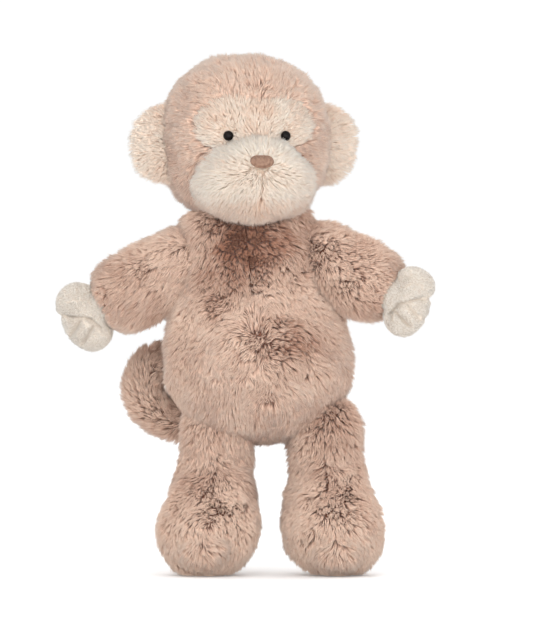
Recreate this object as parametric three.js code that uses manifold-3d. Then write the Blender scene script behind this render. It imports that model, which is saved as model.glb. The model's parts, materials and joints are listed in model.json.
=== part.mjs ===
// Stuffed monkey: a soft toy sewn from long-pile plush and filled with loose polyester fibre.
// Units are millimetres and +Z is up. The toy faces -Y, so its own left side is at +X.
// Every cover is a thin shell with its filling inside it, and every limb has a round root that sits in
// a round armhole, hip hole or neck hole of the body, so that it can turn about the middle of that root.
import * as THREE from "three";
import { mergeVertices } from "three/addons/utils/BufferGeometryUtils.js";
import Module from "manifold-3d";

const wasm = await Module();
wasm.setup();

// ---- Driving dimensions ----

const COVER = 2; // plush with its pile pressed flat
const SHORT_COVER = 1.2; // short-pile cloth of the hands
const GAP = 0.4; // clearance between two pieces
const SEAM = 0.5; // distance between two panels that are sewn edge to edge
const FAR = 400; // larger than the toy, for cutting blocks
const TURN = 1.5; // clearance round a piece of filling that turns inside another
const SWING_ROOM = 3; // clearance round a limb's neck where it swings in the body
const ROOT_PLAY = 0.5; // clearance round a limb's round root, past the usual gap

// How finely the round bodies are faceted: round their axis and along it.
const FINE = { around: 16, along: 12 };
const LIMB = { around: 14, along: 12 };
const COARSE = { around: 12, along: 9 }; // insides and filling

const TORSO = {
  base: [4, 0, 94], // lowest point of the belly
  lean: 5.2, // degrees that the body leans towards its own right
  depth: 0.72, // front-to-back size as a share of the width
  forward: 3, // how far the belly is set towards the front
  seamForward: 1.2, // how far the side seams run ahead of the middle
  // radius and height above the base
  outline: [
    [0, 0],
    [27, 4.5],
    [46, 16],
    [59.5, 33],
    [64, 53],
    [60, 77],
    [53, 100],
    [45, 120],
    [37, 138],
    [27, 150],
    [0, 156],
  ],
};

const NECK = { at: [-10, 0, 243], radius: 24, opening: 15 };
const HEAD = { at: [-11, 0, 305], half: [54, 49, 54], squareness: 2.5, yaw: 10.5 };

// Places on the head are measured from its middle, before it is turned: across, forward and up.
const MUZZLE = { at: [0, 34, -27.5], half: [39, 37, 27.5], narrowing: 0.2, back: 22 };
const NOSE = { up: -18, half: [7.7, 5, 4.2], stands: 1.6 };
const BROW = { width: 84, low: -12, top: 26, notch: 6 };
const EYE = { across: 19.9, up: 1, radius: 4, shank: 1.3, length: 10 };
const WASHER = { radius: 5, thick: 1.6, behind: 5 };
const EAR = { across: 52.5, up: -4, reach: 24, halfHeight: 25, thick: 10, squareness: 2.3, play: 1 };

const ARM = {
  root: 19,
  // radius and distance from the shoulder, past the round root
  outline: [
    [21, 9],
    [24, 24],
    [24.5, 38],
    [22.5, 52],
    [16, 62.5],
    [0, 66],
  ],
  wad: 13,
  right: { at: [-56, 0, 217], drop: 29, forward: 6 },
  left: { at: [42, 0, 221], drop: 23, forward: 30 },
  // how far an arm swings back and forward from straight out, and goes below and above rest
  swing: [-20, 55],
  lower: 8,
  raise: 45,
};

const HAND = {
  wrist: 61.5, // distance of the wrist from the shoulder
  radius: 12.5,
  palm: { out: 18, half: [14, 10.5, 19] },
  thumb: { out: 15, up: 12, tilt: 20, half: [12.5, 8, 8] },
};

const LEG = {
  radius: 20,
  // radius and distance below the hip, past the round root
  outline: [
    [20, 16],
    [21.5, 30],
    [25.5, 46],
    [30, 61],
    [31.5, 72],
    [29, 85],
    [24, 96],
    [19, 102],
  ],
  widest: 72, // distance of the foot's widest place below the hip
  splay: 0.1, // how far the leg goes outwards for each millimetre down
  footDepth: 1.18,
  footForward: 13,
  wad: 14,
  right: [-30, -3, 102],
  left: [45, -3, 102],
  swing: [-25, 80], // back and forward
  spread: 20, // outwards
};

const TAIL = {
  radius: 9.5,
  root: 10.5,
  tip: 10.4,
  play: 1.8, // clearance round the root in its hole
  opening: 4.6, // how far ahead of the root's middle its cover is open
  wad: 6,
  at: [4, 42, 116],
  // centre line from the root: out to the toy's right, up, and back over itself
  route: [
    [0, 0, 0],
    [-17, 9, -3],
    [-45, 12, -6],
    [-70, 10, -4],
    [-85, 8, 10],
    [-82, 6, 26],
    [-68, 6, 32],
    [-58, 7, 24],
  ],
};

const COLOURS = {
  fur: 0xc9aa98,
  cream: 0xeadccb,
  ivory: 0xe9dfd0,
  thread: 0xa98469,
  bead: 0x17110f,
  fibre: 0xf4f2ee,
  washer: 0xf1efe8,
};

const UP = new THREE.Vector3(0, 0, 1);
const radians = THREE.MathUtils.degToRad;

// ---- Solids ----

// The closed solid of a geometry, with the vertices that its triangles share merged.
function solidOf(geometry) {
  const bare = geometry.clone();
  bare.deleteAttribute("normal");
  bare.deleteAttribute("uv");
  const merged = mergeVertices(bare, 1e-4);
  return new wasm.Manifold(
    new wasm.Mesh({
      numProp: 3,
      vertProperties: merged.attributes.position.array,
      triVerts: new Uint32Array(merged.index.array),
    }),
  );
}

function geometryOf(solid) {
  const mesh = solid.getMesh();
  return new THREE.BufferGeometry()
    .setAttribute("position", new THREE.BufferAttribute(new Float32Array(mesh.vertProperties), 3))
    .setIndex(new THREE.BufferAttribute(new Uint32Array(mesh.triVerts), 1));
}

const moved = (geometry, [x, y, z]) => geometry.translate(x, y, z);

const sphere = (radius, at = [0, 0, 0], around = 10, down = 7) =>
  solidOf(moved(new THREE.SphereGeometry(radius, around, down), at));

// A block from one corner to the other.
function block(low, high) {
  const size = high.map((value, i) => value - low[i]);
  const middle = high.map((value, i) => (value + low[i]) / 2);
  return solidOf(moved(new THREE.BoxGeometry(...size), middle));
}

// Moves each vertex of a geometry to where the function says.
function warped(geometry, place) {
  const points = geometry.attributes.position;
  const point = new THREE.Vector3();
  for (let i = 0; i < points.count; i++) {
    point.fromBufferAttribute(points, i);
    place(point);
    points.setXYZ(i, point.x, point.y, point.z);
  }
  return geometry;
}

// A round body about the +Z axis from an outline of radius and height, smoothed and drawn in by inset.
// The outline goes upwards, and starts and ends on the axis.
function turned(outline, inset, around, steps) {
  const points = outline.map(([radius, height]) => new THREE.Vector2(radius, height));
  const smooth = new THREE.SplineCurve(points).getPoints(steps);
  const drawn = smooth.map((point, i) => {
    const before = smooth[Math.max(i - 1, 0)];
    const after = smooth[Math.min(i + 1, steps)];
    const along = after.clone().sub(before).normalize();
    const radius = Math.max(0, point.x - inset * along.y);
    return new THREE.Vector2(i === 0 || i === steps ? 0 : radius, point.y + inset * along.x);
  });
  drawn[0].y = smooth[0].y + inset;
  drawn[steps].y = smooth[steps].y - inset;
  return new THREE.LatheGeometry(drawn, around).rotateX(Math.PI / 2);
}

// The round root of a limb, from its end to the middle, as the start of an outline.
function rootOutline(radius) {
  const steps = [0, 22.5, 45, 67.5, 90];
  return steps.map((turn) => {
    const angle = radians(turn);
    return [radius * Math.sin(angle), -radius * Math.cos(angle)];
  });
}

const meshOf = (name, solid, colour, roughness = 0.95) => {
  const material = new THREE.MeshStandardMaterial({ color: colour, roughness, metalness: 0 });
  const mesh = new THREE.Mesh(geometryOf(solid), material);
  mesh.name = name;
  return mesh;
};

const groupAt = ([x, y, z]) => {
  const group = new THREE.Group();
  group.position.set(x, y, z);
  return group;
};

// ---- Where the body's parts are ----

const body = groupAt(TORSO.base);
body.rotation.y = -radians(TORSO.lean);
body.updateMatrixWorld(true);

// A place in the toy's frame as a place in the leaning body's own frame.
const inBody = (place) => body.worldToLocal(new THREE.Vector3(...place)).toArray();

// ---- Torso ----

function torsoForm(inset) {
  const facets = inset > 0 ? COARSE : FINE;
  const form = turned(TORSO.outline, inset, facets.around, facets.along);
  const height = TORSO.outline[TORSO.outline.length - 1][1];
  return solidOf(
    warped(form, (point) => {
      const share = THREE.MathUtils.clamp(point.z / height, 0, 1);
      point.y = point.y * TORSO.depth - TORSO.forward * Math.sin(Math.PI * share);
    }),
  ).add(sphere(NECK.radius - inset, inBody(NECK.at), 12, 8));
}

// The direction of an arm on one side, as degrees below the horizontal and forwards from straight out.
function armDirection(side, drop, forward) {
  const level = Math.cos(radians(drop));
  const ahead = radians(forward);
  return new THREE.Vector3(side * level * Math.cos(ahead), -level * Math.sin(ahead), -Math.sin(radians(drop)));
}

// The direction of a leg on one side that has swung forwards and spread outwards.
function legDirection(side, swing, spread = 0) {
  const down = new THREE.Vector3(side * (LEG.splay + Math.tan(radians(spread))), 0, -1);
  return down.normalize().applyAxisAngle(new THREE.Vector3(-1, 0, 0), radians(swing));
}

// The room that a limb takes in the body: its outline made larger, laid along each direction.
function limbRoom(root, outline, at, directions) {
  const points = [[0, -root], [root, 0], ...outline, [0, outline[outline.length - 1][1] + SWING_ROOM]];
  const profile = points.map(([radius, along]) => {
    const wide = radius > 0 ? radius + SWING_ROOM : 0;
    return new THREE.Vector2(wide, along);
  });
  const rooms = directions.map((direction) => {
    const form = new THREE.LatheGeometry(profile, 11).rotateX(Math.PI / 2);
    form.applyQuaternion(new THREE.Quaternion().setFromUnitVectors(UP, direction));
    form.translate(...at);
    return solidOf(form.applyMatrix4(body.matrixWorld.clone().invert()));
  });
  const ball = sphere(root + GAP + ROOT_PLAY, inBody(at), 14, 9);
  return rooms.reduce((all, one) => all.add(one), ball);
}

function armRoom(word, side) {
  const { at, drop, forward } = ARM[word];
  const low = drop + ARM.lower;
  const [back, ahead] = ARM.swing;
  const directions = [back, forward, ahead].map((turn) => armDirection(side, low, turn));
  directions.push(armDirection(side, drop - ARM.raise, ahead));
  return limbRoom(ARM.root, ARM.outline.slice(0, 3), at, directions);
}

function hipRoom(word, side) {
  const [back, ahead] = LEG.swing;
  const directions = [back, 0, ahead / 2, ahead].map((turn) => legDirection(side, turn));
  directions.push(legDirection(side, ahead, LEG.spread));
  return limbRoom(LEG.radius, LEG.outline.slice(0, 3), LEG[word], directions);
}

function torsoRoom() {
  return armRoom("right", -1)
    .add(armRoom("left", 1))
    .add(hipRoom("right", -1))
    .add(hipRoom("left", 1))
    .add(sphere(TAIL.root + GAP + TAIL.play, inBody(TAIL.at)));
}

function buildTorso() {
  const room = torsoRoom();
  const neckHole = solidOf(
    moved(new THREE.CylinderGeometry(NECK.opening, NECK.opening, 60, 14).rotateX(Math.PI / 2), inBody(NECK.at)),
  ).intersect(block([-FAR, -FAR, inBody(NECK.at)[2]], [FAR, FAR, FAR]));
  const cover = torsoForm(0).subtract(torsoForm(COVER)).subtract(room).subtract(neckHole);
  const half = SEAM / 2;
  const side = -TORSO.seamForward;
  const leftFront = block([half, -FAR, -FAR], [FAR, side - half, FAR]);
  const rightFront = block([-FAR, -FAR, -FAR], [-half, side - half, FAR]);
  body.add(
    meshOf("torso_front_left", cover.intersect(leftFront), COLOURS.fur),
    meshOf("torso_front_right", cover.intersect(rightFront), COLOURS.fur),
    meshOf("torso_back", cover.intersect(block([-FAR, side + half, -FAR], [FAR, FAR, FAR])), COLOURS.fur),
  );
  const bowl = sphere(NECK.radius - COVER - GAP / 2, inBody(NECK.at), 12, 8);
  body.add(meshOf("torso_stuffing", torsoForm(COVER + GAP).subtract(room).subtract(bowl), COLOURS.fibre));
  return body;
}

// ---- Neck ----

function buildNeck() {
  const neck = groupAt(NECK.at);
  neck.add(meshOf("neck_stuffing", sphere(NECK.radius - COVER - TURN, [0, 0, 0], 12, 8), COLOURS.fibre));
  return neck;
}

// ---- Head ----

// Pushes a unit sphere out towards a box, then sizes it.
function pillow(half, squareness, around, down) {
  return warped(new THREE.SphereGeometry(1, around, down).rotateX(Math.PI / 2), (point) => {
    const sum = ["x", "y", "z"].reduce((total, axis) => total + Math.abs(point[axis]) ** squareness, 0);
    point.multiplyScalar(1 / sum ** (1 / squareness));
    point.multiply(new THREE.Vector3(...half));
  });
}

function headForm(inset) {
  const half = HEAD.half.map((size) => size - inset);
  const facets = inset > 0 ? COARSE : FINE;
  return solidOf(pillow(half, HEAD.squareness, facets.around, facets.along - 1));
}

// How far forward the head's skin is at a place across and up.
function faceDepth(across, up) {
  const [wide, deep, high] = HEAD.half;
  const used = Math.abs(across / wide) ** HEAD.squareness + Math.abs(up / high) ** HEAD.squareness;
  return deep * (1 - used) ** (1 / HEAD.squareness);
}

function muzzleForm(inset) {
  const [, forward, up] = MUZZLE.at;
  const half = MUZZLE.half.map((size) => size - inset);
  const facets = inset > 0 ? COARSE : FINE;
  const ball = new THREE.SphereGeometry(1, facets.around, facets.along - 2).rotateX(Math.PI / 2);
  const form = warped(ball, (point) => {
    point.multiply(new THREE.Vector3(...half));
    point.x *= 1 - MUZZLE.narrowing * (point.z / MUZZLE.half[2]);
  });
  return solidOf(moved(form, [0, -forward, up]));
}

// The brow panel's outline seen from the front: two rounded lobes that meet in a shallow notch.
function browOutline(grow) {
  const halfWidth = BROW.width / 2 + grow;
  const top = BROW.top + grow;
  const low = BROW.low - grow;
  const outline = new THREE.Shape();
  outline.moveTo(0, low);
  outline.lineTo(halfWidth * 0.7, low);
  outline.quadraticCurveTo(halfWidth, low + 4, halfWidth, (top + low) / 2);
  outline.quadraticCurveTo(halfWidth, top, halfWidth * 0.5, top);
  outline.quadraticCurveTo(halfWidth * 0.2, top, 0, top - BROW.notch);
  outline.quadraticCurveTo(-halfWidth * 0.2, top, -halfWidth * 0.5, top);
  outline.quadraticCurveTo(-halfWidth, top, -halfWidth, (top + low) / 2);
  outline.quadraticCurveTo(-halfWidth, low + 4, -halfWidth * 0.7, low);
  outline.closePath();
  return outline;
}

// A prism through the front of the head with the brow panel's outline.
function browPrism(grow) {
  const options = { depth: FAR, bevelEnabled: false, curveSegments: 4 };
  const prism = new THREE.ExtrudeGeometry(browOutline(grow), options);
  return solidOf(prism.rotateX(Math.PI / 2));
}

// A frame whose +Z points out of the face where an eye is fixed.
function eyeMatrix(side) {
  const across = side * EYE.across;
  const at = new THREE.Vector3(across, -faceDepth(across, EYE.up), EYE.up);
  const power = HEAD.squareness - 1;
  const slope = (value, half) => (Math.sign(value) * Math.abs(value / half) ** power) / half;
  const out = new THREE.Vector3(...at.toArray().map((value, i) => slope(value, HEAD.half[i])));
  const turn = new THREE.Quaternion().setFromUnitVectors(new THREE.Vector3(0, 0, 1), out.normalize());
  return new THREE.Matrix4().compose(at, turn, new THREE.Vector3(1, 1, 1));
}

// A domed bead with a shank behind it, which goes through the face into a washer.
function eyeBead(side, grow) {
  const radius = EYE.radius + grow;
  const shank = EYE.shank + grow;
  const outline = [
    [0, -EYE.length - grow],
    [shank, -EYE.length - grow],
    [shank, GAP - grow],
    [radius, GAP - grow],
    [radius * 0.94, GAP + radius * 0.4],
    [radius * 0.7, GAP + radius * 0.78],
    [0, GAP + radius + grow],
  ].map(([r, height]) => new THREE.Vector2(r, height));
  const bead = new THREE.LatheGeometry(outline, 12).rotateX(Math.PI / 2);
  return solidOf(bead.applyMatrix4(eyeMatrix(side)));
}

function eyeWasher(side, grow) {
  const outer = WASHER.radius + grow;
  const inner = grow > 0 ? 0 : EYE.shank + GAP;
  const top = grow - WASHER.behind;
  const ring = [
    [inner, top - WASHER.thick - 2 * grow],
    [outer, top - WASHER.thick - 2 * grow],
    [outer, top],
    [inner, top],
  ].map(([r, height]) => new THREE.Vector2(r, height));
  if (inner > 0) ring.push(ring[0].clone());
  return solidOf(new THREE.LatheGeometry(ring, 10).rotateX(Math.PI / 2).applyMatrix4(eyeMatrix(side)));
}

// The nose is a pad of satin stitches on the muzzle.
function nosePad() {
  const [, forward, up] = MUZZLE.at;
  const rise = (NOSE.up - up) / MUZZLE.half[2];
  const front = -forward - MUZZLE.half[1] * Math.sqrt(1 - rise * rise);
  const pad = new THREE.SphereGeometry(1, 14, 8).scale(...NOSE.half);
  const half = NOSE.half[1];
  return solidOf(moved(pad, [0, front - NOSE.stands + half, NOSE.up])).subtract(muzzleForm(-GAP));
}

// The room that an ear's base takes as the ear folds.
const earHinge = (side) => [side * EAR.across, 0, EAR.up];

function earRoom(side) {
  const radius = EAR.thick / 2 + GAP + EAR.play;
  const length = 2 * EAR.halfHeight + 4;
  const rod = new THREE.CylinderGeometry(radius, radius, length, 10).rotateX(Math.PI / 2);
  return solidOf(moved(rod, earHinge(side)));
}

function buildHead() {
  const head = groupAt(HEAD.at);
  head.rotation.z = radians(HEAD.yaw);
  head.updateMatrixWorld(true);
  const socketAt = head.worldToLocal(new THREE.Vector3(...NECK.at)).toArray();
  const socket = sphere(NECK.radius + GAP + ROOT_PLAY, socketAt, 14, 9);
  const sides = [-1, 1];
  const earRooms = sides.map(earRoom).reduce((all, one) => all.add(one));
  const shankHoles = sides.map((side) => eyeBead(side, GAP)).reduce((all, one) => all.add(one));
  const pockets = sides.map((side) => eyeWasher(side, GAP)).reduce((all, one) => all.add(one));
  const muzzleHole = muzzleForm(-GAP);
  const cover = headForm(0).subtract(headForm(COVER)).subtract(socket).subtract(earRooms);
  const half = SEAM / 2;
  const front = cover.intersect(block([-FAR, -FAR, -FAR], [FAR, -half, FAR])).subtract(muzzleHole);
  head.add(
    meshOf("head_front", front.subtract(browPrism(SEAM)), COLOURS.fur),
    meshOf("head_back", cover.intersect(block([-FAR, half, -FAR], [FAR, FAR, FAR])), COLOURS.fur),
    meshOf("brow_patch", front.intersect(browPrism(0)).subtract(shankHoles), COLOURS.cream),
  );
  const hollows = [socket, earRooms, shankHoles, pockets, muzzleHole];
  const stuffing = hollows.reduce((solid, hollow) => solid.subtract(hollow), headForm(COVER + GAP));
  head.add(meshOf("head_stuffing", stuffing, COLOURS.fibre));
  const ahead = block([-FAR, -FAR, -FAR], [FAR, -MUZZLE.back, FAR]);
  const muzzleCover = muzzleForm(0).subtract(muzzleForm(COVER)).intersect(ahead);
  const fill = muzzleForm(COVER + GAP).intersect(ahead);
  const clear = (solid) => solid.subtract(socket).subtract(shankHoles).subtract(pockets);
  head.add(
    meshOf("muzzle_cover", clear(muzzleCover), COLOURS.cream),
    meshOf("muzzle_stuffing", clear(fill), COLOURS.fibre),
    meshOf("nose_embroidery", nosePad(), COLOURS.thread, 0.6),
  );
  for (const side of sides) {
    const word = side > 0 ? "left" : "right";
    head.add(
      meshOf("eye_" + word, eyeBead(side, 0), COLOURS.bead, 0.1),
      meshOf("eye_washer_" + word, eyeWasher(side, 0), COLOURS.washer, 0.5),
      ...earPanels(side, word),
    );
  }
  return head;
}

// ---- Ears ----

// A flat round cushion, cut off near the head and rounded about its hinge.
function earForm(side, inset) {
  const [x, y, z] = earHinge(side);
  const half = [EAR.reach - inset, EAR.thick / 2 - inset, EAR.halfHeight - inset];
  const cushion = pillow(half, EAR.squareness, 12, 6);
  const disc = solidOf(moved(cushion, [x, y, z]));
  const outer = block([Math.min(x, x + side * FAR), -FAR, -FAR], [Math.max(x, x + side * FAR), FAR, FAR]);
  const edge = new THREE.CapsuleGeometry(half[1], 2 * (half[2] - half[1] - 3), 2, 8).rotateX(Math.PI / 2);
  return disc.intersect(outer).add(solidOf(moved(edge, [x, y, z])));
}

// The cream front and the fur back of an ear, with the ear's thin filling shared between them.
function earPanels(side, word) {
  const half = SEAM / 2;
  const whole = earForm(side, 0);
  const shell = whole.subtract(earForm(side, COVER));
  return [
    meshOf("ear_front_" + word, shell.intersect(block([-FAR, -FAR, -FAR], [FAR, -half, FAR])), COLOURS.cream),
    meshOf("ear_back_" + word, shell.intersect(block([-FAR, half, -FAR], [FAR, FAR, FAR])), COLOURS.fur),
    meshOf("ear_stuffing_" + word, earForm(side, COVER + GAP), COLOURS.fibre),
  ];
}

// ---- Arms and hands: a limb's own +Z points from its root outwards, and its +X points up ----

function limbFrame({ at, drop, forward }, side) {
  const out = armDirection(side, drop, forward);
  const up = new THREE.Vector3(0, 0, 1).addScaledVector(out, -out.z).normalize();
  const third = new THREE.Vector3().crossVectors(out, up);
  const frame = groupAt(at);
  frame.quaternion.setFromRotationMatrix(new THREE.Matrix4().makeBasis(up, third, out));
  return frame;
}

function armForm(inset) {
  const facets = inset > 0 ? COARSE : LIMB;
  return solidOf(turned([...rootOutline(ARM.root), ...ARM.outline], inset, facets.around, facets.along));
}

function ellipsoid([x, y, z], around, down) {
  return new THREE.SphereGeometry(1, around, down).scale(x, y, z);
}

// The palm and the thumb, and the round root that sits in the cuff.
function handForm(inset) {
  const { palm, thumb } = HAND;
  const [along, thick, wide] = palm.half.map((size) => size - inset);
  const [thumbLong, ...thumbRound] = thumb.half.map((size) => size - inset);
  const palmForm = moved(ellipsoid([wide, thick, along], 12, 7), [0, 0, palm.out]);
  const thumbForm = ellipsoid([...thumbRound, thumbLong], 8, 5).rotateY(radians(thumb.tilt));
  return solidOf(palmForm)
    .add(solidOf(moved(thumbForm, [thumb.up, 0, thumb.out])))
    .add(sphere(HAND.radius - inset, [0, 0, 0], 10, 6));
}

function buildArm(side) {
  const word = side > 0 ? "left" : "right";
  const arm = limbFrame(ARM[word], side);
  const wrist = [0, 0, HAND.wrist];
  const room = HAND.radius + GAP + ROOT_PLAY;
  const cuff = sphere(room, wrist, 10, 6);
  const end = block([-FAR, -FAR, HAND.wrist], [FAR, FAR, FAR]);
  const rod = new THREE.CylinderGeometry(room, room, 2 * HAND.radius, 10).rotateX(Math.PI / 2);
  const mouth = solidOf(moved(rod, wrist)).intersect(end);
  const wadRoom = sphere(ARM.wad + TURN, [0, 0, 0], 12, 8);
  const sleeve = armForm(0).subtract(armForm(COVER)).subtract(cuff).subtract(mouth);
  const filling = armForm(COVER + GAP).subtract(cuff).subtract(mouth);
  const pit = block([-FAR, -FAR, -FAR], [FAR, FAR, -ARM.wad * 0.3]);
  arm.add(
    meshOf("arm_sleeve_" + word, sleeve, COLOURS.fur),
    meshOf("arm_stuffing_" + word, filling.subtract(wadRoom).subtract(pit), COLOURS.fibre),
    meshOf("shoulder_stuffing_" + word, sphere(ARM.wad), COLOURS.fibre),
  );
  const hand = groupAt(wrist);
  const neckline = sphere(HAND.radius * 0.55, [0, 0, -HAND.radius]);
  const inner = handForm(SHORT_COVER);
  hand.add(
    meshOf("hand_cover_" + word, handForm(0).subtract(inner).subtract(neckline), COLOURS.ivory),
    meshOf("hand_stuffing_" + word, handForm(SHORT_COVER + GAP), COLOURS.fibre),
  );
  arm.add(hand);
  return arm;
}

// ---- Legs: modelled downwards from the hip, with a flat sole on the ground ----

function legForm(inset, side, height) {
  const down = [...rootOutline(LEG.radius), ...LEG.outline];
  const flat = down[down.length - 1][0];
  const facets = inset > 0 ? COARSE : LIMB;
  const outline = [...down, [flat, height], [0, height]];
  const form = turned(outline, inset, facets.around, facets.along + 2).rotateX(Math.PI);
  return solidOf(
    warped(form, (point) => {
      const share = THREE.MathUtils.smoothstep(-point.z, LEG.radius, LEG.widest);
      point.y = point.y * THREE.MathUtils.lerp(1, LEG.footDepth, share) - LEG.footForward * share;
      point.x += side * LEG.splay * Math.max(0, -point.z - LEG.radius / 2);
    }),
  ).intersect(block([-FAR, -FAR, inset - height], [FAR, FAR, FAR]));
}

function buildLeg(side) {
  const word = side > 0 ? "left" : "right";
  const leg = groupAt(LEG[word]);
  const height = LEG[word][2];
  const half = SEAM / 2;
  const room = sphere(LEG.wad + TURN, [0, 0, 0], 12, 8);
  const shell = legForm(0, side, height).subtract(legForm(COVER, side, height));
  const slope = new THREE.Matrix4().makeShear(0, 0, 0, 0, -side * LEG.splay, 0);
  const halfSpace = (low, high) => {
    const box = new THREE.BoxGeometry(high - low, FAR, FAR).translate((low + high) / 2, 0, 0);
    return solidOf(box.applyMatrix4(slope));
  };
  const outwards = side > 0 ? halfSpace(half, FAR) : halfSpace(-FAR, -half);
  const inwards = side > 0 ? halfSpace(-FAR, -half) : halfSpace(half, FAR);
  const filling = legForm(COVER + 2 * GAP, side, height);
  const pit = block([-FAR, -FAR, LEG.wad * 0.3], [FAR, FAR, FAR]);
  leg.add(
    meshOf("leg_outer_" + word, shell.intersect(outwards), COLOURS.fur),
    meshOf("leg_inner_" + word, shell.intersect(inwards), COLOURS.fur),
    meshOf("leg_stuffing_" + word, filling.subtract(room).subtract(pit), COLOURS.fibre),
    meshOf("hip_stuffing_" + word, sphere(LEG.wad), COLOURS.fibre),
  );
  return leg;
}

// ---- Tail ----

function tailForm(inset) {
  const radius = TAIL.radius - inset;
  const section = new THREE.Shape(new THREE.EllipseCurve(0, 0, radius, radius).getPoints(7));
  const route = new THREE.CatmullRomCurve3(TAIL.route.map((place) => new THREE.Vector3(...place)));
  const steps = inset > 0 ? 11 : 15;
  const tube = new THREE.ExtrudeGeometry(section, { steps, extrudePath: route, bevelEnabled: false });
  return solidOf(tube)
    .add(sphere(TAIL.root - inset, TAIL.route[0]))
    .add(sphere(TAIL.tip - inset, TAIL.route[TAIL.route.length - 1], 8, 6));
}

function buildTail() {
  const tail = groupAt(TAIL.at);
  const opening = block([-FAR, -FAR, -FAR], [FAR, -TAIL.opening, FAR]);
  const room = sphere(TAIL.wad + 1, [0, 0, 0], 14, 10);
  tail.add(
    meshOf("tail_cover", tailForm(0).subtract(tailForm(COVER)).subtract(opening), COLOURS.fur),
    meshOf("tail_stuffing", tailForm(COVER + GAP).subtract(room).subtract(opening), COLOURS.fibre),
    meshOf("tail_root_stuffing", sphere(TAIL.wad), COLOURS.fibre),
  );
  return tail;
}

// ---- The whole toy, with its origin under the middle of its bounding box ----

const toy = new THREE.Group();
toy.add(buildTorso(), buildNeck(), buildHead(), buildTail());
for (const side of [-1, 1]) toy.add(buildArm(side), buildLeg(side));

toy.updateMatrixWorld(true);
const box = new THREE.Box3().setFromObject(toy, true);
const middle = box.getCenter(new THREE.Vector3());
toy.position.set(-middle.x, -middle.y, -box.min.z);

export default toy;
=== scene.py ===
"""A stuffed monkey sewn from long-pile plush: its covers, pile, hands, eyes, nose and filling.

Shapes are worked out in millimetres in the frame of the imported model, from its joints, and written
to meshes in metres. Each cover is a thin cloth panel, and its pile is a piece of its own: thousands of
slender closed tufts rooted in the cloth, combed, ruffled and drawn together into locks.
"""

import json
import math

import bpy
import numpy as np
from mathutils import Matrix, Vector, kdtree


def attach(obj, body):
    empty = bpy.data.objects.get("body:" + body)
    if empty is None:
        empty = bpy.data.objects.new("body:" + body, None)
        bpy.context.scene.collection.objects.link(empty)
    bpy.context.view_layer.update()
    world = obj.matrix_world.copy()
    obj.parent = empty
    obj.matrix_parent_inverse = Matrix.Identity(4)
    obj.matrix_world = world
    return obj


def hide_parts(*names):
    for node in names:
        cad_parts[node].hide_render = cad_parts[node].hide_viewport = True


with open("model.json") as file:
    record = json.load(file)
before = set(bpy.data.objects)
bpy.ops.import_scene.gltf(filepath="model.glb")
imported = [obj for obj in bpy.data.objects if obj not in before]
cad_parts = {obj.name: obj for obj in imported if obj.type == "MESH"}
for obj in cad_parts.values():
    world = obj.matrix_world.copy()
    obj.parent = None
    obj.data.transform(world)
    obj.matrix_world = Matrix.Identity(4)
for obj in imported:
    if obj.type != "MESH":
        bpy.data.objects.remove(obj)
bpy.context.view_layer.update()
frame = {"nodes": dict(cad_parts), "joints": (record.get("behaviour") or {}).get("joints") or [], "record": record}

JOINTS = {j["name"]: np.array(j["pos_m"]) * 1000 for j in frame["joints"]}
AXES = {j["name"]: np.array(j["axis"], float) for j in frame["joints"]}
SIDES = (("right", -1), ("left", 1))
UP = np.array([0.0, 0.0, 1.0])
DOWN = -UP

# ---- Sizes, in millimetres ----

CLOTH = 1.4  # thickness of the knitted backing
SINK = 2.2  # how far the backing lies inside the sewn shape's plain outline
PUFF = 2.0  # the furthest that any point of a panel may move as it swells
ROOT_DEPTH = 0.7  # how deep a tuft is rooted

TORSO_OUTLINE = [
    (0, 0), (27, 4.5), (46, 15), (58, 33), (63, 53), (60, 77),
    (54, 100), (48, 120), (46, 138), (45, 150), (41, 158), (30, 166), (0, 170),
]  # radius, and height above the lowest point of the belly
TORSO_LEAN = 5.2  # degrees towards the toy's own right
TORSO_DEPTH = 0.72
TORSO_FORWARD = 3
TORSO_FOOT = np.array([14, 0, -149])  # the lowest point of the belly, from the neck
TORSO_SIDE = -1.2  # the side seams, ahead of the middle

HEAD_CENTRE = np.array([-1, 0, 62])  # from the neck
HEAD_HALF = np.array([54, 49, 54.5])
HEAD_SQUARENESS = 2.4
MUZZLE_CENTRE = np.array([0, -34, -27.5])
MUZZLE_HALF = np.array([39, 37, 28])
MUZZLE_NARROWING = 0.2
NOSE_UP = -17
NOSE_HALF = np.array([7.5, 4.1])
EYE = {"across": 19.7, "up": 1, "radius": 3.55, "stand": 1.7}
EAR = {"across": 52.5, "up": -4, "half": (24, 4.6, 25)}

ARM_OUTLINE = [
    (24, 10), (24.5, 24), (24.5, 38), (23, 50), (18.5, 60),
    (14.5, 64), (12.4, 62.5), (11.5, 58), (0, 57),
]  # radius, and distance from the shoulder, past the round root
ARM_ROOT = 23.5
LEG_WIDEST = 70  # distance of the foot's widest place below the hip
LEG_OUTLINE = [
    (21.5, 14), (22.5, 30), (26, 46), (30, 60), (31.5, LEG_WIDEST),
    (29.5, 80), (24.5, 89), (18, 95), (10, 99.3), (0, 101),
]  # radius, and distance below the hip, past the round root
LEG_ROOT = 22
LEG_SPLAY = 0.1
FOOT_DEPTH = 1.18
FOOT_FORWARD = 13
HAND_PALM = {"out": 14.5, "half": (22, 11, 16)}
HAND_LOBE = {"up": 12, "out": 14.5, "half": (12.5, 10, 14.5)}
HAND_ROOT = 12
TAIL_RADIUS = 10.4
TAIL_ROUTE = [
    (0, 0, 0), (-17, 9, -3), (-44, 12, -8), (-70, 10, -8),
    (-85, 8, 6), (-83, 6, 24), (-69, 6, 31), (-57, 7, 22), (-59, 9, 9),
]  # from the tail's root

# ---- Vectors and noise ----


def unit(vectors):
    return vectors / np.maximum(np.linalg.norm(vectors, axis=-1, keepdims=True), 1e-9)


def dot(a, b):
    return np.sum(a * b, axis=-1, keepdims=True)


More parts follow.
